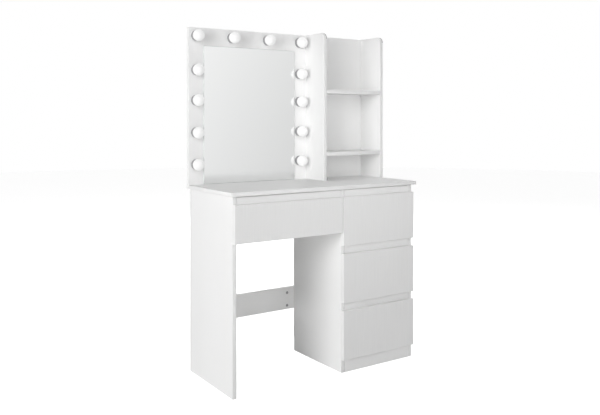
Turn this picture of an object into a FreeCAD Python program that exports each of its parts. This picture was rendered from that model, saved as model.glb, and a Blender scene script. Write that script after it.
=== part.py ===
"""Vanity table with a lamp-lined mirror, a shelf unit on the right and four drawers.

Frame: millimetres, +Z up, the front towards -Y, the origin on the floor under the middle of the box.
Every piece is its own solid. Pieces that repeat side by side share one node as separate solids.
"""
import FreeCAD, Part
import math
import os
from FreeCAD import Vector

os.makedirs("parts", exist_ok=True)

# ---- overall sizes ----
overall_width = 900.0
overall_depth = 385.0
overall_height = 1400.0
desk_height = 759.0

# ---- boards ----
board = 16.0              # laminated board: panels, worktop, fronts, shelves, mirror board
back_sheet = 2.5          # hardboard on the pedestal's back
edge_round = 0.6          # the soft arris of the edging
side_overhang = 15.0      # worktop past each side panel
knee_width = 477.0        # between the left side panel and the divider
plinth_height = 60.0

# ---- drawer fronts and the rails behind the finger gaps ----
top_gap = 30.0            # worktop's underside to the top fronts
finger_gap = 31.0         # between two pedestal fronts
front_gap = 3.0           # between the wide front and the upper pedestal front
split_offset = 1.0        # that gap's middle, left of the divider's left face
wide_front_height = 144.0
plinth_lap = 6.0          # the lowest front hangs this far below the plinth's top
rail_lap = 15.0           # what each rail hides behind a front

# ---- drawer boxes ----
box_wall = 12.0
box_rear_space = 50.5     # behind a drawer box, to the carcass's back
wide_box_lift = 14.0      # box bottom above its front's bottom edge
wide_box_drop = 30.0      # box top below its front's top edge
pedestal_box_lift = 27.0
pedestal_box_drop = 42.0
bottom_sheet = 3.0
bottom_inset = 8.0        # the sheet's underside above the box's lower edge
groove_depth = 6.0
groove_play = 0.15        # on each face of the sheet and at its edge

# ---- telescopic slides ----
slide_space = 12.5        # between a drawer box and the panel beside it
slide_height = 35.0
slide_setback = 2.0       # from each end of the drawer box
slide_sheet = 1.2         # steel of the outer and inner members
middle_sheet = 1.0
slide_play = 0.3
outer_shortfall = 2.5     # the outer member's flanges end this far short of the drawer box
middle_shortfall = 1.7
inner_start = 3.0         # the inner member's flanges begin this far from the panel

# ---- rear stretcher ----
stretcher_bottom = 187.0
stretcher_height = 96.0
cam_radius = 6.0
cam_depth = 11.5
cam_play = 0.1
cam_end_distance = 35.0   # from a panel's face to the cam's axis
cam_lower_inset = 16.5    # above the stretcher's lower edge
cam_upper_inset = 23.5    # below its upper edge
cam_cross_arm = 3.6       # half length of the cross recess's bars
cam_cross_slot = 0.7      # half their width
cam_cross_sink = 2.0

# ---- mirror, lamps and wiring ----
mirror_thickness = 4.0
mirror_left_margin = 66.5
mirror_right_margin = 62.0  # to the shelf unit
mirror_top_margin = 73.0
mirror_bevel = 1.5
lamp_left_inset = 32.5    # left lamp column, from the board's left end
lamp_right_inset = 36.0   # right lamp column, from the shelf unit
lamp_inner_share = 0.344  # distance between the two inner top lamps, over that between the columns
lamp_top_drop = 34.5      # top row below the board's top edge
lamp_bottom_rise = 82.5   # lowest lamps above the worktop
lamp_row_shares = (0.266, 0.501, 0.752, 1.0)  # the other rows, on the way down from the top row
globe_radius = 24.2
globe_wall = 1.5
globe_back_gap = 3.4      # between the whole ball and the board
globe_cut = 5.75          # the ball is open this far in front of the board
base_radius = 21.5
base_height = 11.5
base_rim_round = 1.2
neck_radius = 7.5
neck_play = 0.3
wire_radius = 1.6
wire_play = 0.3
wire_bend = 12.5
groove_deep = 5.0         # wire groove in the board's rear face
inlet_drop = 46.0         # power inlet, below the lowest lamp
inlet_radius = 5.5
inlet_flange_radius = 7.5
inlet_flange = 1.5
inlet_length = 9.0
inlet_socket_radius = 2.8

# ---- shelf unit ----
shelf_unit_width = 330.0
shelf_unit_depth = 142.0
shelf_corner = 25.0
shelf_setback = 0.5
lower_shelf_rise = 123.0  # the lower shelf's top above the worktop
upper_shelf_drop = 246.0  # the upper shelf's top below the unit's top

# ---- screws through the mirror board ----
screw_radius = 3.3
screw_head_radius = 4.8
screw_head = 3.5
screw_length = 46.0
screw_play = 0.05
screw_socket_radius = 2.0  # to the corners of the hexagon
screw_socket_depth = 2.5
worktop_screw_inset = 50.0
shelf_screw_inset = 84.0
panel_screw_inset = 60.0   # from each end of a shelf unit panel

# ---- places that follow from the sizes ----
left_end = -overall_width / 2
right_end = overall_width / 2
front_face = -overall_depth / 2
carcass_front = front_face + board
rear_face = overall_depth / 2
stretcher_front = rear_face - board
carcass_back = stretcher_front - back_sheet       # back of the worktop, divider and pedestal bottom
board_back = carcass_back + board
panel_top = desk_height - board

side_left = left_end + side_overhang
side_left_inner = side_left + board
divider_left = side_left_inner + knee_width
divider_right = divider_left + board
side_right = right_end - side_overhang
side_right_inner = side_right - board

split = divider_left - split_offset
front_top = panel_top - top_gap
wide_front_bottom = front_top - wide_front_height
lowest_front_bottom = plinth_height - plinth_lap
pedestal_front_height = (front_top - lowest_front_bottom - 2 * finger_gap) / 3
pedestal_pitch = pedestal_front_height + finger_gap
pedestal_bottoms = [lowest_front_bottom + i * pedestal_pitch for i in (2, 1, 0)]
box_depth = carcass_back - box_rear_space - carcass_front
slide_length = box_depth - 2 * slide_setback

shelf_unit_left = right_end - shelf_unit_width
shelf_tops = {"shelf_lower": desk_height + lower_shelf_rise, "shelf_upper": overall_height - upper_shelf_drop}
lamp_xs = (left_end + lamp_left_inset, shelf_unit_left - lamp_right_inset)
lamp_top = overall_height - lamp_top_drop
lamp_bottom = desk_height + lamp_bottom_rise
globe_standoff = globe_radius + globe_back_gap    # globe centre in front of the board
inlet_place = (lamp_xs[1], lamp_bottom - inlet_drop)

# name: (front's left and right edges, its bottom, its height, box lift, box drop, left and right panel faces)
drawers = {
    "wide_drawer": (side_left, split - front_gap / 2, wide_front_bottom, wide_front_height,
                    wide_box_lift, wide_box_drop, side_left_inner, divider_left),
}
for drawer_name, front_bottom in zip(("upper_drawer", "middle_drawer", "lower_drawer"), pedestal_bottoms):
    drawers[drawer_name] = (split + front_gap / 2, side_right, front_bottom, pedestal_front_height,
                            pedestal_box_lift, pedestal_box_drop, divider_right, side_right_inner)


def box(x0, x1, y0, y1, z0, z1):
    """A plain block between two corners."""
    return Part.makeBox(x1 - x0, y1 - y0, z1 - z0, Vector(x0, y0, z0))


def soft_board(x0, x1, y0, y1, z0, z1):
    """A board whose twelve edges carry the small rounding of its edging."""
    block = box(x0, x1, y0, y1, z0, z1)
    return block.makeFillet(edge_round, block.Edges)


def rod(x, y, z, radius, length):
    """A cylinder that starts at a point and runs towards +Y."""
    return Part.makeCylinder(radius, length, Vector(x, y, z), Vector(0, 1, 0))


def export(name, shapes):
    """Writes one node. A list is kept as separate solids in one file."""
    shape = Part.makeCompound(shapes) if isinstance(shapes, list) else shapes
    shape.exportStep("parts/" + name + ".step")


# ---- where the screws and lamps sit ----
def lamp_places():
    """(x, z) of each lamp: four across the top, then four down each side."""
    middle = (lamp_xs[0] + lamp_xs[1]) / 2
    half = (lamp_xs[1] - lamp_xs[0]) * lamp_inner_share / 2
    places = [(x, lamp_top) for x in (lamp_xs[0], middle - half, middle + half, lamp_xs[1])]
    for x in lamp_xs:
        places += [(x, lamp_top - share * (lamp_top - lamp_bottom)) for share in lamp_row_shares]
    return places


def shelf_unit_faces():
    """x of the left panel's two faces, then the right panel's two faces."""
    return shelf_unit_left, shelf_unit_left + board, right_end - board, right_end


def screw_places():
    """(x, z) of each screw: into the worktop's rear edge, the shelf unit's panels and its shelves."""
    outer = right_end - worktop_screw_inset
    places = [(x, desk_height - board / 2) for x in (-outer, -outer / 3, outer / 3, outer)]
    left, left_inner, right_inner, right = shelf_unit_faces()
    low, high = desk_height + panel_screw_inset, overall_height - panel_screw_inset
    for x in ((left + left_inner) / 2, (right_inner + right) / 2):
        places += [(x, z) for z in (low, (low + high) / 2, high)]
    for top in shelf_tops.values():
        for x in (left_inner + shelf_screw_inset, right_inner - shelf_screw_inset):
            places.append((x, top - board / 2))
    return places


def screw_holes(play=screw_play):
    """Every screw hole as one tool: a shank hole with a flush pocket for the head."""
    holes = []
    for x, z in screw_places():
        shank_start = board_back - screw_length - play
        holes.append(rod(x, shank_start, z, screw_radius + play, screw_length + play))
        holes.append(rod(x, board_back - screw_head, z, screw_head_radius + play, screw_head))
    return Part.makeCompound(holes)


# ---- desk carcass ----
def carcass():
    holes = screw_holes()
    worktop = soft_board(left_end, right_end, front_face, carcass_back, panel_top, desk_height)
    export("worktop", worktop.cut(holes))
    for name, x0, x1, back in (("left_side_panel", side_left, side_left_inner, rear_face),
                               ("right_side_panel", side_right_inner, side_right, rear_face),
                               ("divider_panel", divider_left, divider_right, carcass_back)):
        export(name, soft_board(x0, x1, carcass_front, back, 0, panel_top))
    rail_back = carcass_front + board
    export("plinth_board",
           soft_board(divider_right, side_right_inner, carcass_front, rail_back, 0, plinth_height))
    export("pedestal_bottom_panel",
           soft_board(divider_right, side_right_inner, carcass_front, carcass_back,
                      plinth_height, plinth_height + board))
    export("pedestal_back_panel",
           box(divider_left, side_right_inner, carcass_back, stretcher_front, plinth_height, panel_top))
    rail_low = front_top - rail_lap
    export("wide_top_rail",
           soft_board(side_left_inner, divider_left, carcass_front, rail_back, rail_low, panel_top))
    export("pedestal_top_rail",
           soft_board(divider_right, side_right_inner, carcass_front, rail_back, rail_low, panel_top))
    for name, upper_bottom in zip(("pedestal_upper_rail", "pedestal_lower_rail"), pedestal_bottoms):
        low = upper_bottom - finger_gap - rail_lap
        high = upper_bottom + rail_lap
        export(name, soft_board(divider_right, side_right_inner, carcass_front, rail_back, low, high))


def cam_places():
    """(x, z) of the stretcher's cam locks, two near the left side panel and two near the divider."""
    low = stretcher_bottom + cam_lower_inset
    high = stretcher_bottom + stretcher_height - cam_upper_inset
    return [(x, z) for x in (side_left_inner + cam_end_distance, divider_left - cam_end_distance)
            for z in (low, high)]


def cam_lock(x, z):
    """A short cylinder with a cross recess in its face."""
    cam = rod(x, stretcher_front, z, cam_radius, cam_depth)
    for half_x, half_z in ((cam_cross_arm, cam_cross_slot), (cam_cross_slot, cam_cross_arm)):
        cam = cam.cut(box(x - half_x, x + half_x, stretcher_front - 1, stretcher_front + cam_cross_sink,
                          z - half_z, z + half_z))
    return cam


def stretcher():
    rail = soft_board(side_left_inner, side_right_inner, stretcher_front, rear_face,
                      stretcher_bottom, stretcher_bottom + stretcher_height)
    for x, z in cam_places():
        rail = rail.cut(rod(x, stretcher_front, z, cam_radius + cam_play, cam_depth + cam_play))
    export("rear_stretcher", rail)
    export("stretcher_cam_locks", [cam_lock(x, z) for x, z in cam_places()])


# ---- mirror board, mirror and lamps ----
def wire_path():
    """The wire's middle line: up from the inlet, over the top row and down the left column."""
    y = board_back - groove_deep + wire_play + wire_radius
    right_x, left_x = lamp_xs[1], lamp_xs[0]
    foot = inlet_place[1] + inlet_radius + wire_play
    end = lamp_bottom - neck_radius
    reach = wire_bend / math.sqrt(2)
    edges = []
    corner_in = Vector(right_x, y, lamp_top - wire_bend)
    corner_out = Vector(right_x - wire_bend, y, lamp_top)
    turn = Vector(right_x - wire_bend + reach, y, lamp_top - wire_bend + reach)
    edges.append(Part.LineSegment(Vector(right_x, y, foot), corner_in).toShape())
    edges.append(Part.Arc(corner_in, turn, corner_out).toShape())
    second_in = Vector(left_x + wire_bend, y, lamp_top)
    second_out = Vector(left_x, y, lamp_top - wire_bend)
    second_turn = Vector(left_x + wire_bend - reach, y, lamp_top - wire_bend + reach)
    edges.append(Part.LineSegment(corner_out, second_in).toShape())
    edges.append(Part.Arc(second_in, second_turn, second_out).toShape())
    edges.append(Part.LineSegment(second_out, Vector(left_x, y, end)).toShape())
    return Part.Wire(edges)


def wire_tube(radius, path):
    """A round tube along the path, starting at its first point and heading up."""
    start = path.OrderedVertexes[0].Point
    ring = Part.Wire([Part.Circle(start, Vector(0, 0, 1), radius).toShape()])
    return path.makePipeShell([ring], True, True)


def wire_groove():
    """The groove in the board's rear face: a square channel that follows the wire."""
    half = wire_radius + wire_play
    y0, y1 = board_back - groove_deep, board_back + 1
    foot = inlet_place[1]
    end = lamp_bottom - neck_radius - half
    right_x, left_x = lamp_xs[1], lamp_xs[0]
    pieces = [box(right_x - half, right_x + half, y0, y1, foot, lamp_top - wire_bend),
              box(left_x - half, left_x + half, y0, y1, end, lamp_top - wire_bend),
              box(left_x + wire_bend, right_x - wire_bend, y0, y1, lamp_top - half, lamp_top + half)]
    for corner_x, start_angle in ((right_x - wire_bend, 0), (left_x + wire_bend, 90)):
        pieces.append(groove_corner(corner_x, lamp_top - wire_bend, start_angle, half, y0, y1))
    return pieces


def groove_corner(x, z, start_angle, half, y0, y1):
    """A quarter ring about (x, z), from start_angle to a quarter turn on, counted from +X towards +Z."""
    outer = rod(x, y0, z, wire_bend + half, y1 - y0)
    ring = outer.cut(rod(x, y0 - 1, z, wire_bend - half, y1 - y0 + 2))
    span = wire_bend + half + 1
    x0, x1 = (x, x + span) if start_angle == 0 else (x - span, x)
    return ring.common(box(x0, x1, y0 - 1, y1 + 1, z, z + span))


def mirror_board():
    panel = soft_board(left_end, right_end, carcass_back, board_back, panel_top, overall_height)
    panel = panel.cut(screw_holes())
    for x, z in lamp_places():
        panel = panel.cut(rod(x, carcass_back - 1, z, neck_radius + neck_play, board + 2 - groove_deep))
    for piece in wire_groove():
        panel = panel.cut(piece)
    x, z = inlet_place
    bore = inlet_length + inlet_flange + neck_play
    panel = panel.cut(rod(x, board_back - bore, z, inlet_radius + neck_play, bore + 1))
    panel = panel.cut(rod(x, board_back - inlet_flange, z, inlet_flange_radius + neck_play, inlet_flange + 1))
    export("mirror_board", panel)


def mirror():
    y0 = carcass_back - mirror_thickness
    glass = box(left_end + mirror_left_margin, shelf_unit_left - mirror_right_margin, y0, carcass_back,
                desk_height, overall_height - mirror_top_margin)
    rim = [edge for edge in glass.Edges if edge.BoundBox.YMax < y0 + mirror_thickness / 2]
    export("mirror_glass", glass.makeChamfer(mirror_bevel, rim))


def lamp_base(x, z):
    """A shallow cup on the board that the globe sits in, with a neck into the board."""
    front = carcass_back - base_height
    cup = rod(x, front, z, base_radius, base_height)
    rim = [edge for edge in cup.Edges if edge.BoundBox.YMax < front + 0.1]
    cup = cup.makeFillet(base_rim_round, rim)
    seat = Part.makeSphere(globe_radius + neck_play, Vector(x, carcass_back - globe_standoff, z))
    neck_end = board_back - groove_deep - carcass_back
    neck = rod(x, carcass_back, z, neck_radius, neck_end)
    return cup.cut(seat).fuse(neck).removeSplitter()


def lamp_globe(x, z):
    """A hollow ball, open at the back where it sits in its base."""
    centre = Vector(x, carcass_back - globe_standoff, z)
    ball = Part.makeSphere(globe_radius, centre).cut(Part.makeSphere(globe_radius - globe_wall, centre))
    return ball.cut(box(x - globe_radius, x + globe_radius, carcass_back - globe_cut, board_back,
                        z - globe_radius, z + globe_radius))


def lamps():
    export("lamp_bases", [lamp_base(x, z) for x, z in lamp_places()])
    export("lamp_globes", [lamp_globe(x, z) for x, z in lamp_places()])
    path = wire_path()
    wire = wire_tube(wire_radius, path)
    print("wire length", round(path.Length, 1), "volume ratio",
          round(wire.Volume / (math.pi * wire_radius ** 2 * path.Length), 4), "bend", wire_bend)
    export("lamp_wire", wire)
    x, z = inlet_place
    inlet = rod(x, board_back - inlet_flange - inlet_length, z, inlet_radius, inlet_length)
    inlet = inlet.fuse(rod(x, board_back - inlet_flange, z, inlet_flange_radius, inlet_flange))
    inlet = inlet.cut(rod(x, board_back - inlet_length, z, inlet_socket_radius, inlet_length + 1))
    export("power_inlet", inlet.removeSplitter())


def screws():
    made = []
    for x, z in screw_places():
        shank = rod(x, board_back - screw_length, z, screw_radius, screw_length - screw_head)
        head = rod(x, board_back - screw_head, z, screw_head_radius, screw_head - screw_play)
        made.append(shank.fuse(head).removeSplitter().cut(hexagon_socket(x, z)))
    export("mirror_board_screws", made)


def hexagon_socket(x, z):
    """The six-sided recess in a screw's head: a hexagon extruded from the board's rear face."""
    corners = []
    for side in range(7):
        turn = math.radians(60 * side)
        corners.append(Vector(x + screw_socket_radius * math.cos(turn), board_back,
                              z + screw_socket_radius * math.sin(turn)))
    return Part.Face(Part.makePolygon(corners)).extrude(Vector(0, -screw_socket_depth, 0))


# ---- shelf unit ----
def shelf_unit():
    holes = screw_holes()
    left, left_inner, right_inner, right = shelf_unit_faces()
    front = carcass_back - shelf_unit_depth
    for name, x0, x1 in (("shelf_unit_left_panel", left, left_inner),
                         ("shelf_unit_right_panel", right_inner, right)):
        panel = box(x0, x1, front, carcass_back, desk_height, overall_height)
        corner = [edge for edge in panel.Edges
                  if edge.BoundBox.YMax < front + 1 and edge.BoundBox.ZMin > overall_height - 1]
        panel = panel.makeFillet(shelf_corner, corner)
        export(name, panel.makeFillet(edge_round, panel.Edges).cut(holes))
    for name, top in shelf_tops.items():
        shelf = soft_board(left_inner, right_inner, front + shelf_setback, carcass_back, top - board, top)
        export(name, shelf.cut(holes))


# ---- drawers ----
def drawer(name, left, right, bottom, height, lift, drop, left_face, right_face):
    """The overlaid front, two sides, a back and a thin bottom held in grooves."""
    low, high = bottom + lift, bottom + height - drop
    x0, x1 = left_face + slide_space, right_face - slide_space
    y0, y1 = carcass_front, carcass_front + box_depth
    sheet_low = low + bottom_inset
    sheet_high = sheet_low + bottom_sheet
    groove = box(x0 + box_wall - groove_depth, x1 - box_wall + groove_depth, y0 - groove_depth, y1 + 1,
                 sheet_low - groove_play, sheet_high + groove_play)
    export(name + "_front",
           soft_board(left, right, front_face, carcass_front, bottom, bottom + height).cut(groove))
    export(name + "_left_side", soft_board(x0, x0 + box_wall, y0, y1, low, high).cut(groove))
    export(name + "_right_side", soft_board(x1 - box_wall, x1, y0, y1, low, high).cut(groove))
    export(name + "_back", soft_board(x0 + box_wall, x1 - box_wall, y1 - box_wall, y1,
                                      sheet_high + groove_play, high))
    reach = groove_depth - groove_play
    export(name + "_bottom", box(x0 + box_wall - reach, x1 - box_wall + reach, y0 - reach, y1,
                                 sheet_low, sheet_high))


def channel(face, way, web_start, web, reach, half_height, sheet, y0, y1, z):
    """A steel channel. Distances run from the panel's face towards the drawer, along way (+1 or -1).
    Its web starts at web_start, and its flanges end at reach, which may lie on either side of the web."""
    def span(a, b):
        ends = sorted((face + way * a, face + way * b))
        return ends[0], ends[1]
    x0, x1 = span(web_start, web_start + web)
    profile = box(x0, x1, y0, y1, z - half_height, z + half_height)
    x0, x1 = span(min(web_start, reach), max(web_start + web, reach))
    for z0 in (z - half_height, z + half_height - sheet):
        profile = profile.fuse(box(x0, x1, y0, y1, z0, z0 + sheet))
    return profile.removeSplitter()


def slides(name, bottom, height, lift, drop, left_face, right_face):
    """A pair of three-part telescopic slides: outer on the panels, inner on the box, middle between."""
    z = (bottom + lift + bottom + height - drop) / 2
    y0 = carcass_front + slide_setback
    y1 = y0 + slide_length
    outer_half = slide_height / 2
    middle_half = outer_half - slide_sheet - slide_play
    inner_half = middle_half - middle_sheet - slide_play
    middle_web = slide_sheet + slide_play
    members = {"outer": [], "middle": [], "inner": []}
    for face, way in ((left_face, 1), (right_face, -1)):
        members["outer"].append(channel(face, way, 0, slide_sheet, slide_space - outer_shortfall,
                                        outer_half, slide_sheet, y0, y1, z))
        members["middle"].append(channel(face, way, middle_web, middle_sheet, slide_space - middle_shortfall,
                                         middle_half, middle_sheet, y0, y1, z))
        members["inner"].append(channel(face, way, slide_space - slide_sheet, slide_sheet, inner_start,
                                        inner_half, middle_sheet, y0, y1, z))
    for member, shapes in members.items():
        export(name + "_slide_" + member, shapes)


carcass()
stretcher()
mirror_board()
mirror()
lamps()
screws()
shelf_unit()
for drawer_name, sizes in drawers.items():
    drawer(drawer_name, *sizes)
    slides(drawer_name, *sizes[2:])
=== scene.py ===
# %% [markdown]
# # A dressing table with a lamp-lined mirror
# The desk, its drawers, the tall rear board and the shelf unit are all flat boards, so most of this lesson is about
# making a flat board look like a real one: edging, soft corners, a pressed surface. The rest is lamps, a mirror,
# telescopic slides and small fastenings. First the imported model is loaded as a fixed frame.

# %% Load the frame
import math
import bmesh
import bpy
import numpy as np
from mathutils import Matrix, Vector


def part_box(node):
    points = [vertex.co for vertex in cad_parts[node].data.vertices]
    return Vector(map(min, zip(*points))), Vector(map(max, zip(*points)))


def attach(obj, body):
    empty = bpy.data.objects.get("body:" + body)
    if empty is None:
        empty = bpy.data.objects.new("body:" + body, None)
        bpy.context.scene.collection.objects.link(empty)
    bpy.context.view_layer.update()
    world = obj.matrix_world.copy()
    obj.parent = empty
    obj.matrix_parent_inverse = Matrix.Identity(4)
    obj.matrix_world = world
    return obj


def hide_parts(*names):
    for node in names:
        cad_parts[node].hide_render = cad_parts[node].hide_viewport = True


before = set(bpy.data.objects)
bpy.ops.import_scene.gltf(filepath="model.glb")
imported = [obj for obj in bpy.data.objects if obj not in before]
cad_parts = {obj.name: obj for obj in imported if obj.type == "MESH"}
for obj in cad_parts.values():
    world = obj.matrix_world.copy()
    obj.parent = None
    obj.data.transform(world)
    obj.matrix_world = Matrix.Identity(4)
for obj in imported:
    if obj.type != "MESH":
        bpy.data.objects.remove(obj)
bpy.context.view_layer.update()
MM = 0.001

# %% [markdown]
# ## Materials from nodes
# Every finish here is worked out by nodes and needs no picture. A small kit keeps the node code short: one function
# makes a material with its shader, one adds a node and joins its inputs, and one adds noise stretched along an axis.
# Numbers that are the same all over go straight onto the shader's own sockets.


# %% A kit for node materials
def new_material(name, color, roughness, **sockets):
    """A material with one Principled shader. Extra sockets are given by name, with _ for a space."""
    material = bpy.data.materials.new(name)
    material.use_nodes = True
    shader = material.node_tree.nodes["Principled BSDF"]
    shader.inputs["Base Color"].default_value = (*color, 1.0)
    shader.inputs["Roughness"].default_value = roughness
    for key, value in sockets.items():
        shader.inputs[key.replace("_", " ")].default_value = value
    return material, shader


def node(owner, kind, inputs=(), **settings):
    """A node of that kind. Inputs is a dict from socket name or number to a value or to another node's output."""
    made = owner.node_tree.nodes.new(kind)
    for key, value in settings.items():
        setattr(made, key, value)
    for key, value in dict(inputs).items():
        if isinstance(value, bpy.types.NodeSocket):
            owner.node_tree.links.new(value, made.inputs[key])
        else:
            made.inputs[key].default_value = value
    return made


def join(owner, output, socket):
    """Links one node's output to another node's socket."""
    owner.node_tree.links.new(output, socket)


def noise(material, scale, detail=2.0, stretch=(1, 1, 1)):
    """Noise on the piece's own coordinates, in cells per metre. A small stretch draws the cells out on that axis."""
    place = node(material, "ShaderNodeTexCoord").outputs["Object"]
    drawn = node(material, "ShaderNodeMapping", {"Vector": place, "Scale": stretch}).outputs[0]
    return node(material, "ShaderNodeTexNoise", {"Vector": drawn, "Scale": scale, "Detail": detail}).outputs[0]


def tint(material, shader, value, color, swing, low=0.3, high=0.7):
    """Colours the shader by a value: a little darker than the colour at low, a little lighter at high."""
    made = node(material, "ShaderNodeValToRGB", {0: value})
    for element, place, share in zip(made.color_ramp.elements, (low, high), (1 - swing, 1 + swing)):
        element.position = place
        element.color = (*[min(c * share, 1.0) for c in color], 1.0)
    join(material, made.outputs[0], shader.inputs["Base Color"])


def gloss(material, shader, value, smooth, rough):
    """Roughness from smooth to rough as the value goes from 0 to 1."""
    spread = node(material, "ShaderNodeMapRange", {0: value, 3: smooth, 4: rough})
    join(material, spread.outputs[0], shader.inputs["Roughness"])


def bump(material, shader, height, depth, strength=1.0):
    """Small relief: height is a value from 0 to 1, and depth is how deep it is in metres."""
    made = node(material, "ShaderNodeBump", {"Height": height, "Distance": depth, "Strength": strength})
    join(material, made.outputs[0], shader.inputs["Normal"])


print("material kit ready")

# %% [markdown]
# ## White laminate
# The boards are chipboard under a white melamine film. Pressed into the film is a fine pore pattern that runs one way
# like wood, which shows only as a faint change of gloss. It could be a picture texture, but noise squeezed hard along
# one axis gives the same long pores at any size. Panels have it upright and shelves along their length, so the
# function takes the axis of the pores. The edging is a separate plastic strip: plain, a touch glossier, with the
# faint ripple of something rolled on with hot glue.

# %% Laminate and edging
WHITE = (0.88, 0.88, 0.877)
EDGE_SHARE = 0.965            # of the common white, for the edge strip
# dark grey for the edge strip inside the shelf unit's round corner: painted shade, not the strip's own colour
BEND_SHADE_GREY = (0.36, 0.36, 0.36)
ALL_WAYS = (1.0, 1.0, 1.0)


def white(share):
    """The common white times a share."""
    return [c * share for c in WHITE]


def along(axis, share):
    """A stretch that draws a pattern out along one axis."""
    return [share if name == axis else 1.0 for name in "xyz"]


def laminate(name, grain, color=WHITE, fine=700.0, depth=0.00005):
    """Melamine film: long shallow pores along the grain, a faint cloudiness and a satin gloss."""
    material, shader = new_material(name, color, 0.45, Specular_IOR_Level=0.4)
    pores = noise(material, fine, 3.0, along(grain, 0.03))
    tint(material, shader, noise(material, 6.0, 3.0, along(grain, 0.3)), color, 0.010)
    gloss(material, shader, pores, 0.36, 0.56)
    bump(material, shader, pores, depth, 0.6)
    return material, shader


def edging(name, color, depth):
    """Plastic edge strip: plain colour, soft gloss, and a ripple of the given depth."""
    material, shader = new_material(name, color, 0.34, Specular_IOR_Level=0.45)
    tint(material, shader, noise(material, 30.0), color, 0.01)
    gloss(material, shader, noise(material, 160.0), 0.28, 0.42)
    bump(material, shader, noise(material, 90.0, 1.0), depth, 0.5)
    return material


boards = {axis: laminate("white_laminate_" + axis, axis)[0] for axis in "xyz"}
edge_strip = edging("white_edge_strip", white(EDGE_SHARE), 0.00003)
# the round corner's strip, painted dark grey as shade where the bend faces up away from the light
bend_shade_strip = edging("painted_shade_bend_strip", BEND_SHADE_GREY, 0.00012)
print("laminate along", sorted(boards))

# %% [markdown]
# The drawer fronts have a film of their own, with an upright weave-like grain that is easier to see and takes a
# little of the white away. It is the same function with coarser, deeper pores, plus a second ramp that darkens them.

# %% Front film
FRONT_SHARE = 0.955


def woven_film(name, color):
    """Film with an upright grain: the pores are darker than the ground as well as deeper."""
    material, shader = laminate(name, "z", color, 420.0, 0.00009)
    threads = noise(material, 520.0, 2.0, along("z", 0.012))
    tint(material, shader, threads, color, 0.015, 0.38, 0.62)
    return material


front_film = woven_film("drawer_front_film", white(FRONT_SHARE))
print("front film", front_film.name)

# %% [markdown]
# ## Surfaces from arrays
# A new piece is one or more grids of points. Each grid becomes quads, its edges are joined where they meet, and the
# result is a closed mesh whose faces point outwards. Two shapes cover nearly everything here: a flat solid with a
# worked edge, and a profile turned about a line that points to the front.


# %% Grids, meshes and pieces
def quads(rows, cols):
    """Faces between neighbouring points of a grid whose rows close on themselves: each face joins a point, the next
    in its row, and the same two in the next row."""
    row, col = np.meshgrid(np.arange(rows - 1), np.arange(cols), indexing="ij")
    beside = (col + 1) % cols
    corners = [row * cols + col, row * cols + beside, (row + 1) * cols + beside, (row + 1) * cols + col]
    return np.stack(corners, -1).reshape(-1, 4)


def make_piece(name, parts, materials, body, stands_for=(), smooth=40.0):
    """Joins (points, faces, material number) parts into one closed mesh, smooth but for edges over the angle."""
    mesh = bpy.data.meshes.new(name)
    points, faces, kinds, start = [], [], [], 0
    for part_points, part_faces, kind in parts:
        points.append(part_points)
        faces += (part_faces + start).tolist()
        kinds += np.broadcast_to(kind, len(part_faces)).tolist()
        start += len(part_points)
    mesh.from_pydata(np.concatenate(points), [], faces)
    mesh.polygons.foreach_set("material_index", kinds)
    shell = bmesh.new()
    shell.from_mesh(mesh)
    bmesh.ops.remove_doubles(shell, verts=shell.verts, dist=1e-6)
    bmesh.ops.recalc_face_normals(shell, faces=shell.faces)
    shell.to_mesh(mesh)
    shell.free()
    mesh.shade_smooth()
    mesh.set_sharp_from_angle(angle=math.radians(smooth))
    piece = bpy.data.objects.new(name, mesh)
    bpy.context.scene.collection.objects.link(piece)
    for material in materials:
        mesh.materials.append(material)
    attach(piece, body)
    if stands_for:
        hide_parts(*stands_for)
    return piece


LARGE_ROUND = 10 * MM    # a corner with a larger radius gets this many times the points
LARGE_ROUND_POINTS = 6


def rounded_outline(low, high, radii, steps=4, inset=0.0):
    """A rectangle's outline, anticlockwise from its lower left corner, with an arc of its own radius at each corner.
    Drawn in by an inset, the arcs keep their middles and shrink to sharp corners, and past that the corners move."""
    corners = ((low[0], low[1], 1, 1), (high[0], low[1], -1, 1), (high[0], high[1], -1, -1), (low[0], high[1], 1, -1))
    arcs = []
    for number, ((u, v, to_u, to_v), radius) in enumerate(zip(corners, radii)):
        count = steps * (LARGE_ROUND_POINTS if radius > LARGE_ROUND else 1)
        turn = np.radians(180 + 90 * number + np.linspace(0, 90, count + 1))
        depth = max(radius, inset)
        middle = np.array([u + to_u * depth, v + to_v * depth])
        arcs.append(middle + max(radius - inset, 0.0) * np.stack([np.cos(turn), np.sin(turn)], -1))
    return np.concatenate(arcs)


def inward(outline):
    """At each corner, the step that moves both its edges in by one: twice the summed normals over their square."""
    run = np.roll(outline, -1, 0) - outline
    run /= np.linalg.norm(run, axis=1, keepdims=True)
    normal = np.stack([-run[:, 1], run[:, 0]], -1)
    both = normal + np.roll(normal, 1, 0)
    return 2 * both / (both ** 2).sum(1, keepdims=True)


def flat_solid(outline, rows, axis, kinds=0, caps=(0, 0)):
    """An outline carried along an axis. Each row is (how far its border moves in, its place on the axis), and the
    faces between two rows take that step's kind. Caps close the end rows. The outline may be a function instead,
    which is given a row's inset, and the row's third number if it has one."""
    inset, level, *more = np.array(rows, float).T
    if callable(outline):
        flat = np.stack([outline(*step) for step in zip(inset, *more)])
    else:
        flat = outline[None] + inset[:, None, None] * inward(outline)[None]
    third = np.broadcast_to(level[:, None], flat.shape[:2])
    spots = {"x": (third, flat[..., 0], flat[..., 1]), "y": (flat[..., 0], third, flat[..., 1]),
             "z": (flat[..., 0], flat[..., 1], third)}[axis]
    grid = np.stack(spots, -1)
    per_step = np.broadcast_to(kinds, len(rows) - 1)
    count = flat.shape[1]
    border = np.arange(count)[None]
    return [(grid.reshape(-1, 3), quads(len(rows), count), np.repeat(per_step, count)),
            (grid[0], border, caps[0]), (grid[-1], border, caps[1])]


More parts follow.
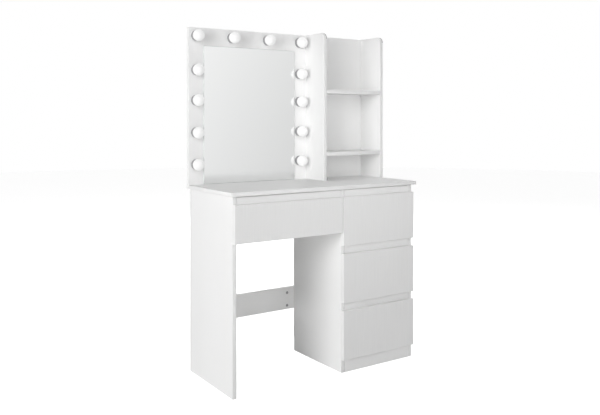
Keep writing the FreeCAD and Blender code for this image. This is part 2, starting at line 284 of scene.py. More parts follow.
def turned(profile, steps=48):
    """A profile of (radius, y) turned about the y axis."""
    turn = np.linspace(0, 2 * math.pi, steps, endpoint=False)
    radius, y = np.array(profile, float).T[..., None]
    points = np.stack([radius * np.cos(turn), y + 0 * turn, radius * np.sin(turn)], -1)
    return points.reshape(-1, 3), quads(len(profile), steps)


def copies(shape, places, kind=0):
    """The same shape at many places, as one part: its points shifted by each place, its faces renumbered."""
    points, faces = shape
    places = np.array(places, float)
    spread = points[None] + places[:, None]
    numbered = faces[None] + (np.arange(len(places)) * len(points))[:, None, None]
    return spread.reshape(-1, 3), numbered.reshape(-1, faces.shape[1]), kind


print("surface kit ready")

# %% [markdown]
# ## Edged boards
# A real laminated board has three things a plain block lacks: a plastic strip on its edges, the hairline joint
# between strip and film a millimetre or two in, and edges rounded over by a scraper. The worktop and the drawer
# fronts have a thick strip rounded over by two millimetres, and the other boards a thin one that is hardly rounded.
# Each board is its own outline carried through its thickness, with those three worked into the edge. A bevel modifier
# could round the edges, but it would not give the joint. The strip is its own material, chosen by where a face lies.

# %% The edge's shape
JOINT = 0.09 * MM         # half width and depth of the strip's hairline joint
JOINT_DEPTH = 11.0 * MM   # of the open joint between two boards
CORNER = 1.6 * MM         # rounding of a board's corners, seen flat on
FILM_RING = 0.3 * MM      # of flat film kept round the hairline joint


def edge_steps(strip, arris, count):
    """From the film, over the joint and the strip, round the arris to the outside: a quarter circle of the arris.
    Gives the steps, and the kinds of the faces of a whole board: film up to the joint, strip after it."""
    turn = np.radians(np.linspace(0, 90, count))
    steps = [(strip + FILM_RING, 0), (strip + JOINT, 0), (strip, JOINT), (strip - JOINT, 0)]
    steps += list(zip(arris * (1 - np.sin(turn)), arris * (1 - np.cos(turn))))
    half = [0, 0] + [1] * (count + 1)
    return steps, half + [1, 1, 1] + half[::-1]


THIN_EDGE = edge_steps(strip=1.0 * MM, arris=0.6 * MM, count=4)
THICK_EDGE = edge_steps(strip=2.3 * MM, arris=2.0 * MM, count=7)
FACE_AXES = {"x": (1, 2), "y": (0, 2), "z": (0, 1)}


def edged_board(name, axis, film, body, seams=(0,) * 4, radii=(CORNER,) * 4, extra=(), edge=THIN_EDGE):
    """A board as thick as its node along one axis, with the outline of the node's box seen along that axis. Seams
    says how far its left, lower, right and upper sides are cut back, in mm. On an upright board that faces the
    front, they are cut back to the joint's depth only, so that a dark open joint shows and the back still meets."""
    low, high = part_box(name)
    u, v = FACE_AXES[axis]
    thick = "xyz".index(axis)
    cut = np.array(seams) * MM

    def border(inset, open_share):
        start = np.array([low[u], low[v]]) + cut[:2] * open_share
        end = np.array([high[u], high[v]]) - cut[2:] * open_share
        return rounded_outline(start, end, radii, 4, inset)

    steps, kinds = edge
    joint = low[thick] + JOINT_DEPTH
    behind = 0 if axis == "y" else 1
    rows = [(inset, low[thick] + depth, 1) for inset, depth in steps] + [(0, joint, 1), (0, joint, behind)]
    rows += [(inset, high[thick] - depth, behind) for inset, depth in steps[::-1]]
    parts = flat_solid(border, rows, axis, kinds)
    return make_piece(name + "_board", parts, [film, edge_strip, *extra], body, [name])


print("edge steps", len(THIN_EDGE[0]), len(THICK_EDGE[0]))

# %% [markdown]
# Where two boards meet flush, such as a rail between two panels, the real joint is a fine dark line. The rails are
# therefore cut back a little at their front, beside the panels and under the worktop. Boards that only touch, such as
# a shelf between its panels, stop a fraction of a millimetre short so that no two faces coincide. The shelves are
# left out of what the mirror shows, and so are the shelf unit's panels, because it is to read as one plain grade.

# %% Desk carcass
# how far a board's left, lower, right and upper sides are cut back, in mm
NO_SEAMS = (0, 0, 0, 0)
RAIL_SEAMS = (1.2, 0, 1.2, 0)
TOP_RAIL_SEAMS = (1.2, 0, 1.2, 3.2)
PANEL_SEAMS = (0, 0, 0, 0.9)
SHELF_SEAMS = (0.3, 0, 0.3, 0)
# node: (axis of its thickness, axis of its grain, its seams)
CARCASS = {
    "worktop": ("z", "x", NO_SEAMS),
    "left_side_panel": ("x", "z", PANEL_SEAMS),
    "right_side_panel": ("x", "z", PANEL_SEAMS),
    "divider_panel": ("x", "z", PANEL_SEAMS),
    "plinth_board": ("y", "x", RAIL_SEAMS),
    "pedestal_bottom_panel": ("z", "x", SHELF_SEAMS),
    "wide_top_rail": ("y", "x", TOP_RAIL_SEAMS),
    "pedestal_top_rail": ("y", "x", TOP_RAIL_SEAMS),
    "pedestal_upper_rail": ("y", "x", RAIL_SEAMS),
    "pedestal_lower_rail": ("y", "x", RAIL_SEAMS),
    "shelf_lower": ("z", "x", SHELF_SEAMS),
    "shelf_upper": ("z", "x", SHELF_SEAMS),
}
for name, (axis, grain, seams) in CARCASS.items():
    edge = THICK_EDGE if name == "worktop" else THIN_EDGE
    board = edged_board(name, axis, boards[grain], "cabinet", seams, edge=edge)
    board.visible_glossy = not name.startswith("shelf")
print("carcass boards", len(CARCASS))

# %% [markdown]
# The shelf unit's two panels have one large round at the top front corner. Along its inner side the edging that
# bends round it is painted dark grey, as painted shade for the part of the bend that faces up away from the light,
# so those faces take a third material, picked by their place.

# %% Shelf unit panels
UNIT_ROUND = 25 * MM
UNIT_ROUNDS = (CORNER, CORNER, CORNER, UNIT_ROUND)
# the left panel's film is darker by this share: painted shade for light falling off there, the boards being alike
UNIT_SHADE_SHARE = 0.93


def mark_bend_shade(piece, low, high):
    """Gives the third material, the grey of painted shade, to the strip's faces that lie within the round corner, from
    the row at the joint's depth inwards: a test of each face's middle against two planes and a depth."""
    mesh = piece.data
    count = len(mesh.polygons)
    centres, kinds = np.empty(count * 3), np.empty(count, np.int32)
    mesh.polygons.foreach_get("center", centres)
    mesh.polygons.foreach_get("material_index", kinds)
    centres = centres.reshape(-1, 3)
    inner = centres[:, 0] > low[0] + JOINT_DEPTH
    corner = (centres[:, 1] < low[1] + UNIT_ROUND) & (centres[:, 2] > high[2] - UNIT_ROUND)
    bend = (kinds == 1) & inner & corner
    mesh.polygons.foreach_set("material_index", np.where(bend, 2, kinds).astype(np.int32))


shaded_unit_film, _ = laminate("unit_laminate", "z", white(UNIT_SHADE_SHARE))
for name in ("shelf_unit_left_panel", "shelf_unit_right_panel"):
    # only the left panel takes the painted-shade film
    film = shaded_unit_film if "left" in name else boards["z"]
    panel = edged_board(name, "x", film, "cabinet", radii=UNIT_ROUNDS, extra=[bend_shade_strip])
    mark_bend_shade(panel, *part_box(name))
    panel.visible_glossy = False
print("shelf unit panels rounded by", UNIT_ROUND)

# %% [markdown]
# A drawer is a thick front screwed to a box of thinner boards: two sides, a back, and a sheet that slides into
# grooves in them. All are flat boards, so the same function makes them, with the grain along each board's length.
# The sheet comes later, with the other hardboard.

# %% Drawer fronts and boxes
DRAWERS = ("wide_drawer", "upper_drawer", "middle_drawer", "lower_drawer")
for drawer in DRAWERS:
    edged_board(drawer + "_front", "y", front_film, drawer, edge=THICK_EDGE)
    for side in ("_left_side", "_right_side"):
        edged_board(drawer + side, "x", boards["y"], drawer)
    edged_board(drawer + "_back", "y", boards["x"], drawer)
print("drawers", len(DRAWERS))

# %% [markdown]
# ## Boards that keep their holes
# The mirror board is drilled for lamps and screws and grooved for the wire, and the stretcher is bored for its cams.
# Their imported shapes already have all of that, so they stay and only get a finish. Inside a cut, a real board shows
# raw chipboard, and its ends show the edging. Both follow from the place alone: a step on the point's coordinate says
# which side of a plane it is on, and multiplying steps gives a block of space.


# %% Chipboard inside the cuts
def beyond(owner, axis_value, plane, way=1):
    """1 where way times the coordinate is past way times the plane, else 0."""
    kind = "GREATER_THAN" if way > 0 else "LESS_THAN"
    return node(owner, "ShaderNodeMath", {0: axis_value, 1: plane}, operation=kind).outputs[0]


def times(owner, *values):
    """The product of several values."""
    made = values[0]
    for value in values[1:]:
        made = node(owner, "ShaderNodeMath", {0: made, 1: value}, operation="MULTIPLY").outputs[0]
    return made


def cut_board(name, low, high, grain, skin, color):
    """Laminate with raw chipboard wherever a point lies deeper than the skin from every outer plane it is given."""
    material, shader = laminate(name, grain, color)
    place = node(material, "ShaderNodeTexCoord").outputs["Object"]
    split = node(material, "ShaderNodeSeparateXYZ", {0: place}).outputs
    inside = times(material, *[beyond(material, split[i], edge[i] + way * skin, way)
                               for edge, way in ((low, 1), (high, -1)) for i in range(3)])
    chips = node(material, "ShaderNodeTexVoronoi", {"Vector": place, "Scale": 900.0}).outputs["Color"]
    shade = node(material, "ShaderNodeSeparateColor", {0: chips}).outputs[0]
    core = node(material, "ShaderNodeValToRGB", {0: shade})
    core.color_ramp.elements[0].color = (0.26, 0.17, 0.09, 1)
    core.color_ramp.elements[1].color = (0.52, 0.38, 0.23, 1)
    film = shader.inputs["Base Color"].links[0].from_socket
    mixed = node(material, "ShaderNodeMix", {0: inside, 6: film, 7: core.outputs[0]}, data_type="RGBA")
    join(material, mixed.outputs[2], shader.inputs["Base Color"])
    return material


def finish(name, material):
    """Gives a carried-over node its one material."""
    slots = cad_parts[name].data.materials
    slots.clear()
    slots.append(material)


SKIN = 0.3 * MM
# The mirror board's share of 1.04 is painted light: the same white made lighter so the board reads as more strongly
# lit.
CUT_BOARDS = {"mirror_board": 1.04, "rear_stretcher": 1.0}     # each one's share of the common white
for name, share in CUT_BOARDS.items():
    low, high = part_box(name)
    finish(name, cut_board(name + "_finish", low, high, "x", SKIN, white(share)))
print("cut boards skin", SKIN)

# %% [markdown]
# ## Hardboard
# The pedestal's back and the drawer bottoms are thin pressed fibre painted white. Paint on fibre is duller and a
# little creamier than film, and keeps the pressing screen's fine mesh, which is two waves crossed at right angles.


# %% Painted hardboard
def hardboard(name, across):
    """Dull white paint over a fine mesh: the product of two sine waves along the sheet's own two axes."""
    color = (0.83, 0.825, 0.80)
    material, shader = new_material(name, color, 0.62, Specular_IOR_Level=0.3)
    tint(material, shader, noise(material, 14.0, 5.0), color, 0.03)
    place = node(material, "ShaderNodeTexCoord").outputs["Object"]
    waves = []
    for direction in across:
        wave = node(material, "ShaderNodeTexWave", {"Vector": place, "Scale": 260.0, "Distortion": 0.6},
                    bands_direction=direction)
        waves.append(wave.outputs["Fac"])
    mesh_height = times(material, *waves)
    gloss(material, shader, mesh_height, 0.52, 0.72)
    bump(material, shader, mesh_height, 0.00008, 0.7)
    return material


finish("pedestal_back_panel", hardboard("painted_back_sheet", "XZ"))
drawer_sheet = hardboard("painted_drawer_sheet", "XY")
for drawer in DRAWERS:
    finish(drawer + "_bottom", drawer_sheet)
print("hardboard sheets", 1 + len(DRAWERS))

# %% [markdown]
# ## Mirror
# The mirror is 4 mm glass with ground edges. Its silver lies on the back, but at this size one reflecting face reads
# the same, so the front is a metal mirror with the faintest haze, the ground bevel and edge are milky green glass,
# and the back is the grey protective paint.


# %% Mirror glass
def mirror_finishes():
    """Silver, ground edge and backing paint."""
    silver, shader = new_material("silvered_glass", (0.93, 0.938, 0.935), 0.12, Metallic=1.0)
    gloss(silver, shader, noise(silver, 5.0, 4.0), 0.10, 0.14)
    milky, grey = (0.60, 0.63, 0.62), (0.22, 0.23, 0.24)
    ground, shader = new_material("ground_glass_edge", milky, 0.35, Specular_IOR_Level=0.6)
    tint(ground, shader, noise(ground, 60.0), milky, 0.06)
    bump(ground, shader, noise(ground, 900.0), 0.00003, 0.5)
    paint, shader = new_material("mirror_back_paint", grey, 0.6)
    tint(paint, shader, noise(paint, 40.0, 4.0), grey, 0.08)
    bump(paint, shader, noise(paint, 300.0), 0.00003, 0.5)
    return [silver, ground, paint]


low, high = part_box("mirror_glass")
BEVEL = 1.5 * MM
GLASS_CORNER = 2 * MM
glass_rows = [(BEVEL, low.y), (0.15 * MM, low.y + BEVEL), (0, low.y + BEVEL + 0.2 * MM), (0, high.y - 0.3 * MM),
              (0.3 * MM, high.y)]
glass_outline = rounded_outline((low.x, low.z), (high.x, high.z), (GLASS_CORNER,) * 4, 6)
make_piece("silvered_mirror", flat_solid(glass_outline, glass_rows, "y", 1, (0, 2)), mirror_finishes(), "cabinet",
           ["mirror_glass"], 20.0)
print("mirror", [round(v, 4) for v in high - low])

# %% [markdown]
# ## Lamps
# Twelve round lamps sit in shallow metal cups. A lamp is two turned shapes. The cup has a rolled rim, a fine groove
# and a hollow seat. The globe is a real shell, with an outside and an inside wall, open at the back. The lamps'
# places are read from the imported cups: the middle of each separate shell of the node.


# %% Lamp places
def shell_middles(name, reach):
    """The (x, 0, z) middle of each shell of a node whose shells are narrower than the reach and further apart."""
    points = np.array([v.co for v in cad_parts[name].data.vertices])[:, (0, 2)]
    waiting = np.ones(len(points), bool)
    middles = []
    while waiting.any():
        seed = points[waiting][0]
        near = waiting & (np.hypot(*(points - seed).T) < reach)
        x, z = (points[near].min(0) + points[near].max(0)) / 2
        middles.append((x, 0.0, z))
        waiting &= ~near
    return sorted(middles)


lamp_places = shell_middles("lamp_bases", 0.05)
base_low, base_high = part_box("lamp_bases")
globe_low, globe_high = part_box("lamp_globes")
print("lamps", len(lamp_places), "globe depth", round((globe_high.y - globe_low.y) / MM, 1))

# %% [markdown]
# A circle's arc is most of each lamp's outline, so one helper gives arcs as (radius, y) points. The globe's size and
# middle follow from its box: its width is known, and its front is its lowest y.


# %% Lamp shapes
def arc(centre, radius, start, end, count):
    """Points of (centre radius + radius cos, centre y + radius sin) from one angle in degrees to another."""
    turn = np.radians(np.linspace(start, end, count))
    return np.stack([centre[0] + radius * np.cos(turn), centre[1] + radius * np.sin(turn)], -1)


GLOBE = globe_high.x - lamp_places[-1][0]
GLOBE_WALL = 1.5 * MM
globe_middle = (0.0, globe_low.y + GLOBE)
behind = globe_high.y - globe_middle[1]
globe_profile = np.concatenate([
    arc(globe_middle, GLOBE, -90, math.degrees(math.asin(behind / GLOBE)), 30),
    arc(globe_middle, GLOBE - GLOBE_WALL, math.degrees(math.asin(behind / (GLOBE - GLOBE_WALL))), -90, 20)])

CUP = 21.5 * MM
RIM = 1.2 * MM
NECK = 7.5 * MM
CUP_DEPTH = 11.5 * MM
CUP_EASE = 0.5 * MM                     # the chamfer at the cup's back, and the depth of its groove
GROOVE = (2.2 * MM, 2.6 * MM, 3.2 * MM, 3.6 * MM)     # the groove's four corners, from the cup's back
SEAT_GAP = 0.3 * MM
front, back = base_low.y, base_low.y + CUP_DEPTH
seat = GLOBE + SEAT_GAP
seat_edge = math.degrees(math.asin((front - globe_middle[1]) / seat))
cup_profile = np.concatenate([
    [(0, base_high.y), (NECK, base_high.y), (NECK, back), (CUP - CUP_EASE, back), (CUP, back - CUP_EASE)],
    [(CUP, back - GROOVE[0]), (CUP - CUP_EASE, back - GROOVE[1])],
    [(CUP - CUP_EASE, back - GROOVE[2]), (CUP, back - GROOVE[3])],
    arc((CUP - RIM, front + RIM), RIM, 0, -90, 6),
    arc(globe_middle, seat, seat_edge, 90, 12)])


def lamp_finishes():
    """Satin metal for the cups, and opal plastic for the globes with a faint glow that is painted light, as the lamps
    are off.
    """
    grey, milk = (0.34, 0.34, 0.35), (0.56, 0.56, 0.557)
    cup, shader = new_material("lamp_cup_satin", grey, 0.42, Metallic=0.25)
    spun = noise(cup, 240.0, 3.0)
    tint(cup, shader, spun, grey, 0.05)
    gloss(cup, shader, spun, 0.34, 0.50)
    bump(cup, shader, spun, 0.00002, 0.5)
    # The glow is painted light: it keeps each unlit globe evenly white where its far side would fall into shade.
    opal, shader = new_material("opal_globe", milk, 0.22, Emission_Color=(1, 1, 1, 1), Emission_Strength=0.39)
    cloud = noise(opal, 55.0, 4.0)
    tint(opal, shader, cloud, milk, 0.02)
    gloss(opal, shader, cloud, 0.18, 0.30)
    bump(opal, shader, noise(opal, 130.0), 0.00004, 0.5)
    return cup, opal


cup_satin, opal = lamp_finishes()
make_piece("lamp_cups", [copies(turned(cup_profile), lamp_places)], [cup_satin], "cabinet", ["lamp_bases"],
           30.0)
make_piece("opal_lamps", [copies(turned(globe_profile), lamp_places)], [opal], "cabinet", ["lamp_globes"],
           50.0)
print("cup rows", len(cup_profile), "globe rows", len(globe_profile), "globe radius", round(GLOBE / MM, 2))

# %% [markdown]
# ## Wire and socket
# The lamps' wire lies in the groove behind the mirror board, from the socket up and across to the last lamp. It is a
# plain round sleeve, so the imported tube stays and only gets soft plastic. The socket is turned: a flange with a small
# chamfer, a hollow for the plug, and the pin inside it.


# %% Wire and socket
def plastic(name, color, roughness, grain, depth):
    """Moulded plastic: an even colour with a grain that shows in the gloss and the relief."""
    material, shader = new_material(name, color, roughness)
    tint(material, shader, noise(material, grain * 0.2), color, 0.03)
    gloss(material, shader, noise(material, grain), roughness - 0.08, roughness + 0.08)
    bump(material, shader, noise(material, grain, 3.0), depth, 0.6)
    return material


finish("lamp_wire", plastic("soft_wire_sleeve", (0.78, 0.78, 0.77), 0.45, 500.0, 0.00002))

inlet_low, inlet_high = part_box("power_inlet")
rear = inlet_high.y
flange = (inlet_high.x - inlet_low.x) / 2
shank, bore, pin = 5.5 * MM, 2.8 * MM, 0.7 * MM
rim_back, rim_ease, bore_ease, floor = rear - 1.5 * MM, 0.4 * MM, 0.5 * MM, rear - 9 * MM
pin_root, pin_neck, pin_tip = rear - 9.2 * MM, rear - 1.6 * MM, rear - 1.2 * MM
socket_profile = [(0, inlet_low.y), (shank, inlet_low.y), (shank, rim_back), (flange, rim_back),
                  (flange, rear - rim_ease), (flange - rim_ease, rear), (bore + bore_ease, rear),
                  (bore, rear - bore_ease), (bore, floor), (0, floor)]
pin_profile = [(0, pin_root), (pin, pin_root), (pin, pin_neck), (pin * 0.6, pin_tip), (0, pin_tip)]
socket_place = [((inlet_low.x + inlet_high.x) / 2, 0.0, (inlet_low.z + inlet_high.z) / 2)]
pin_metal, shader = new_material("socket_pin_metal", (0.75, 0.73, 0.68), 0.25, Metallic=1.0)
gloss(pin_metal, shader, noise(pin_metal, 900.0), 0.18, 0.34)
socket_parts = [copies(turned(socket_profile, 32), socket_place), copies(turned(pin_profile, 16), socket_place, 1)]
make_piece("turned_socket", socket_parts,
           [plastic("black_socket_plastic", (0.025, 0.025, 0.027), 0.4, 700.0, 0.00003), pin_metal], "cabinet",
           ["power_inlet"], 30.0)
print("socket flange radius", round(flange / MM, 2))

# %% [markdown]
# ## Steel
# Slides and fastenings are zinc plated. Plating on rolled strip shows long faint streaks, and on small turned parts a
# fine mottle, so one function serves both, with the streak's axis as a choice.


# %% Zinc finishes
def zinc(name, color, smooth, rough, stretch, scale):
    """Plated steel: metal whose colour, roughness and relief follow one drawn-out noise."""
    material, shader = new_material(name, color, (smooth + rough) / 2, Metallic=1.0)
    streaks = noise(material, scale, 4.0, stretch)
    tint(material, shader, streaks, color, 0.10)
    gloss(material, shader, streaks, smooth, rough)
    bump(material, shader, streaks, 0.00001, 0.5)
    return material


rolled_zinc = zinc("rolled_zinc", (0.56, 0.57, 0.59), 0.24, 0.42, along("y", 0.02), 500.0)
ball_steel = zinc("ball_steel", (0.70, 0.70, 0.72), 0.08, 0.18, ALL_WAYS, 300.0)
fastener_zinc = zinc("fastener_zinc", (0.50, 0.51, 0.53), 0.30, 0.50, ALL_WAYS, 700.0)
finish("mirror_board_screws", fastener_zinc)
finish("stretcher_cam_locks", zinc("cam_zinc", (0.37, 0.37, 0.38), 0.40, 0.60, ALL_WAYS, 600.0))
print("zinc finishes ready")

# %% [markdown]
# ## Telescopic slides
# Each drawer runs on a pair of slides of three rolled channels: the outer on the panel, the inner on the drawer, and
# the middle one between them on rows of steel balls. A channel is a bent line given the thickness of its sheet and
# carried along the slide. Its corners are round, as rolled steel's are, and the outer channel's lips turn in.


# %% Rolled channels
def bent(points, radius, steps=4):
    """A line whose square corners are quarter circles: from each corner, back along one run and on along the next."""
    run = np.diff(points, axis=0)
    run /= np.linalg.norm(run, axis=1, keepdims=True)
    turn = np.radians(np.linspace(0, 90, steps + 1))[None, :, None]
    corners = points[1:-1, None] + radius * (run[1:, None] * (1 - np.cos(turn)) - run[:-1, None] * (1 - np.sin(turn)))
    return np.concatenate([points[:1], corners.reshape(-1, 2), points[-1:]])


def ribbon(line, thickness):
    """The outline of a strip of that thickness along a line: half of it to each side, mitred at the corners."""
    run = np.diff(line, axis=0)
    run /= np.linalg.norm(run, axis=1, keepdims=True)
    side = np.stack([-run[:, 1], run[:, 0]], -1)
    both = np.concatenate([side[:1], side]) + np.concatenate([side, side[-1:]])
    step = both / (both ** 2).sum(1, keepdims=True) * thickness
    return np.concatenate([line + step, (line - step)[::-1]])


def channel(line, thickness, face, way, middle, ends):
    """A strip bent along a line of (distance from the panel, height), carried between its two ends along y."""
    outline = (ribbon(bent(line, BEND), thickness) * (way, 1) + (face, middle))[::-way]
    trim = 0.15 * MM
    rows = [(trim, ends[0]), (0, ends[0] + trim), (0, ends[1] - trim), (trim, ends[1])]
    return flat_solid(outline, rows, "y")


BEND = 1.1 * MM
SHEET, THIN_SHEET = 1.2 * MM, 1.0 * MM
INNER_WEB = 12.0 * MM     # from the panel to the flat of the inner channel
outer_line = np.array([(9.3, 14.4), (9.3, 16.9), (0.6, 16.9), (0.6, -16.9), (9.3, -16.9), (9.3, -14.4)]) * MM
middle_line = np.array([(10.7, 12.6), (2.0, 12.6), (2.0, -12.6), (10.7, -12.6)]) * MM
inner_line = np.array([(3.2, 8.4), (12.0, 8.4), (12.0, -8.4), (3.2, -8.4)]) * MM
print("channel corners", len(bent(outer_line, BEND)))

# %% [markdown]
# The balls sit in two short cages on the middle channel. The rear cage carries it in the outer channel and the front
# cage carries the inner one, because those are the stretches where the members still overlap with the drawer out.
# A ball is repeated hundreds of times, so it is a coarse grid, smooth shaded.


# %% Balls, cages and slide screws
BALL = 1.6 * MM
BALL_PITCH = 9 * MM
BALLS_IN_ROW = 8
CAGE_LENGTH = BALL_PITCH * BALLS_IN_ROW
CAGE_MARGIN = 6 * MM            # from a cage to the end of its channel
CAGE_STRIP = (0.3 * MM, 1.25 * MM)                   # half its thickness, half its height
REAR_CAGE = (5.6 * MM, 14.7 * MM)                    # its balls' distance from the panel, and from the middle
FRONT_CAGE = (6.6 * MM, 10.5 * MM)
ball_shape = turned(arc((0.0, 0.0), BALL, -90, 90, 7), 10)
head_profile = np.array([(0, 0), (3.1, 0), (3.1, 0.4), (2.8, 1.0), (1.7, 1.5), (0, 1.6)]) * MM


def ball_row(face, way, middle, start, reach, height):
    """Two rows of balls, above and below the middle, and the thin strip that holds each row."""
    y = start + BALL_PITCH * (np.arange(BALLS_IN_ROW) + 0.5)
    x = face + way * reach
    thick, tall = CAGE_STRIP
    parts = []
    for z in (middle + height, middle - height):
        parts.append(copies(ball_shape, np.stack([x + 0 * y, y, z + 0 * y], -1), 1))
        strip = rounded_outline((x - thick, z - tall), (x + thick, z + tall), (0.1 * MM,) * 4, 2)
        parts += flat_solid(strip, [(0, start), (0, start + CAGE_LENGTH)], "y", 2, (2, 2))
    return parts


def slide_screws(face, way, middle, ends):
    """Three round heads in the inner channel: the profile turned, then its axis swung to run across the slide."""
    points, faces = turned(head_profile, 16)
    across = points[:, (1, 0, 2)] * (-way, 1, 1)
    x = face + way * (INNER_WEB - THIN_SHEET / 2)
    share = np.array([0.14, 0.5, 0.86])
    y = ends[0] + share * (ends[1] - ends[0])
    return [copies((across, faces), np.stack([x + 0 * y, y, middle + 0 * y], -1), 1)]


cage_plastic = plastic("ball_cage", (0.55, 0.55, 0.52), 0.5, 500.0, 0.00002)
for drawer in DRAWERS:
    low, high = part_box(drawer + "_slide_outer")
    middle, ends = (low.z + high.z) / 2, (low.y, high.y)
    members = {"outer": [], "middle": [], "inner": []}
    for face, way in ((low.x, 1), (high.x, -1)):
        members["outer"] += channel(outer_line, SHEET, face, way, middle, ends)
        members["middle"] += channel(middle_line, THIN_SHEET, face, way, middle, ends)
        members["middle"] += ball_row(face, way, middle, ends[1] - CAGE_LENGTH - CAGE_MARGIN, *REAR_CAGE)
        members["middle"] += ball_row(face, way, middle, ends[0] + CAGE_MARGIN, *FRONT_CAGE)
        members["inner"] += channel(inner_line, THIN_SHEET, face, way, middle, ends)
        members["inner"] += slide_screws(face, way, middle, ends)
    for member, body in (("outer", "cabinet"), ("middle", drawer.replace("drawer", "slides")), ("inner", drawer)):
        make_piece(f"{drawer}_rolled_{member}", members[member], [rolled_zinc, ball_steel, cage_plastic], body,
                   [f"{drawer}_slide_{member}"], 35.0)
print("slide members", 3 * len(DRAWERS))

# %% [markdown]
# ## Nails
# The thin back is nailed to the boards around it. The heads are small flat discs a third of a millimetre proud, one
# shape repeated along the sheet's border.

# %% Back sheet nails
sheet_low, sheet_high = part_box("pedestal_back_panel")
NAIL_INSET = 8 * MM
NAILS_ACROSS, NAILS_UP = 5, 8
nail_shape = turned(np.array([(0, -1.0), (1.5, -1.0), (1.5, 0.18), (1.2, 0.32), (0, 0.35)]) * MM, 12)
across = np.linspace(sheet_low.x + NAIL_INSET, sheet_high.x - NAIL_INSET, NAILS_ACROSS)
upward = np.linspace(sheet_low.z + NAIL_INSET, sheet_high.z - NAIL_INSET, NAILS_UP)
border = [(x, z) for x in (across[0], across[-1]) for z in upward]
border += [(x, z) for z in (upward[0], upward[-1]) for x in across[1:-1]]
nails = [(x, sheet_high.y, z) for x, z in border]
make_piece("back_sheet_nails", [copies(nail_shape, nails)], [fastener_zinc], "cabinet")
print("nails", len(nails))

# %% [markdown]
# ## Studio
# The table stands on a plain pale floor in soft light. The sky does three jobs, which a light path node keeps apart:
# it is white to the camera, gives no light of its own, and is nearly all that the mirror shows. A mirror with a plain
# white sky in it looks like a hole, so its rays get a soft grade instead, worked out from the ray's direction.


# %% Sky
GRADE_LINE = (-1.10, 0.0, 0.48)     # the sky lightens to the left and upwards
GRADE_ENDS = (-0.66, -0.41)         # along that line, where the grade starts and stops
GRADE_SHADES = (0.695, 0.963)


def sky():
    """White to the camera, dark as a lamp, and to the mirror a soft grade: the ray's direction along a slanted line,
    spread from the grade's dark end to its light end."""
    world = bpy.data.worlds.new("studio_sky")
    bpy.context.scene.world = world
    world.use_nodes = True
    rays = node(world, "ShaderNodeLightPath").outputs
    towards = node(world, "ShaderNodeTexCoord").outputs["Generated"]
    slant = node(world, "ShaderNodeVectorMath", {0: towards, 1: GRADE_LINE}, operation="DOT_PRODUCT")
    spread = dict(enumerate((slant.outputs["Value"], *GRADE_ENDS, *GRADE_SHADES)))
    grade = node(world, "ShaderNodeMapRange", spread)
    shown = node(world, "ShaderNodeMath", {0: rays["Is Glossy Ray"], 1: grade.outputs[0]}, operation="MULTIPLY")
    seen = node(world, "ShaderNodeMath", {0: rays["Is Camera Ray"], 1: shown.outputs[0]}, operation="MAXIMUM")
    join(world, seen.outputs[0], world.node_tree.nodes["Background"].inputs["Color"])


sky()
print("sky grade", GRADE_SHADES)

# %% [markdown]
# The floor is one large disc. A white floor in soft light still comes out pale grey, so it also glows a little, but
# only to the camera: a floor that glowed for every ray would light the table from below. It is no part of the table,
# and the mirror looks past it to the sky.


# %% Floor
FLOOR_RADIUS = 12.0
FLOOR_WHITE = (0.92, 0.92, 0.92)
FLOOR_GLOW = 0.9


def studio_floor():
    """A round floor: one face whose corners lie on a circle."""
    turn = np.linspace(0, 2 * math.pi, 96, endpoint=False)
    rim = np.stack([FLOOR_RADIUS * np.cos(turn), FLOOR_RADIUS * np.sin(turn), 0 * turn], -1)
    mesh = bpy.data.meshes.new("studio_floor")
    mesh.from_pydata(rim, [], [list(range(len(rim)))])
    floor = bpy.data.objects.new("studio_floor", mesh)
    bpy.context.scene.collection.objects.link(floor)
    floor.visible_glossy = False
    material, shader = new_material("pale_floor", FLOOR_WHITE, 0.9, Emission_Color=(1, 1, 1, 1))
    rays = node(material, "ShaderNodeLightPath").outputs
    lift = node(material, "ShaderNodeMath", {0: rays["Is Camera Ray"], 1: FLOOR_GLOW}, operation="MULTIPLY")
    join(material, lift.outputs[0], shader.inputs["Emission Strength"])
    mesh.materials.append(material)


studio_floor()
print("floor radius", FLOOR_RADIUS)

# %% [markdown]
# The lights are square panels, like softboxes. The two strongest are far out at the left, so the table's outer side
# is its brightest face and the globes throw soft shadows to the right. Three weaker ones in front fill the drawer
# fronts, two overhead light the tops, and a narrow one looks into the shelf bays, which would be too dark without it.
# The last two stand at the right and behind, so that those sides can be seen too. The mirror shows none of them.


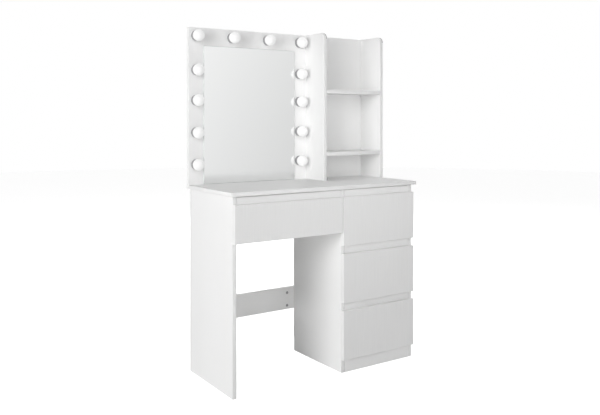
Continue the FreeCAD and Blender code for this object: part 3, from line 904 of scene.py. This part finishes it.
# %% Lights
CENTRE = (0.0, 0.0, 0.65)
BAYS = (0.285, 0.1, 0.95)
# name, place, size in metres, power in watts, and for a narrow one its target and its spread in degrees
LIGHTS = (
    ("far_left_light", (-4.5, -1.6, 1.2), 2.0, 83.0),
    ("far_left_high_light", (-4.5, -1.6, 2.2), 2.0, 38.0),
    ("left_front_light", (-3.0, -2.4, 2.6), 2.0, 28.0),
    ("front_left_light", (-1.2, -4.0, 2.7), 2.0, 27.0),
    ("front_light", (0.9, -2.6, 1.1), 1.2, 8.0),
    ("top_left_light", (-2.2, 0.0, 3.4), 2.0, 9.0),
    ("top_right_light", (2.2, 0.0, 3.4), 2.0, 33.0),
    ("shelf_bay_light", (-0.8, -2.6, 0.95), 1.0, 0.55, BAYS, 25),
    ("right_fill_light", (4.2, 0.8, 1.6), 2.0, 26.0),
    ("back_fill_light", (1.2, 4.2, 1.8), 2.0, 65.0),
)


def soft_light(name, place, size, power, target=CENTRE, spread=180):
    """A square area light that looks at the target, and that the mirror doesn't show."""
    light = bpy.data.lights.new(name, "AREA")
    light.energy = power
    light.size = size
    light.spread = math.radians(spread)
    panel = bpy.data.objects.new(name, light)
    bpy.context.scene.collection.objects.link(panel)
    panel.location = place
    panel.rotation_euler = (Vector(target) - Vector(place)).to_track_quat("-Z", "Y").to_euler()
    panel.visible_glossy = False


for light in LIGHTS:
    soft_light(*light)
print("lights", len(LIGHTS))

# %% [markdown]
# ## Camera
# The table is seen from its left front, a little below the height of the mirror's middle, with the lens level. A
# small shift frames it without tilting the upright edges.

# %% Camera
camera_data = bpy.data.cameras.new("camera")
camera = bpy.data.objects.new("camera", camera_data)
bpy.context.scene.collection.objects.link(camera)
camera.location = (-1.6709, -2.5012, 1.0302)
camera.rotation_euler = (math.radians(90), 0, math.radians(-34.05))
camera_data.sensor_width = 36.0
camera_data.lens = 43.03
camera_data.shift_x = -0.0146
camera_data.shift_y = -0.149
bpy.context.scene.camera = camera
bpy.context.scene.view_settings.view_transform = "Standard"
bpy.context.scene.view_settings.look = "None"
print("camera lens", camera_data.lens)
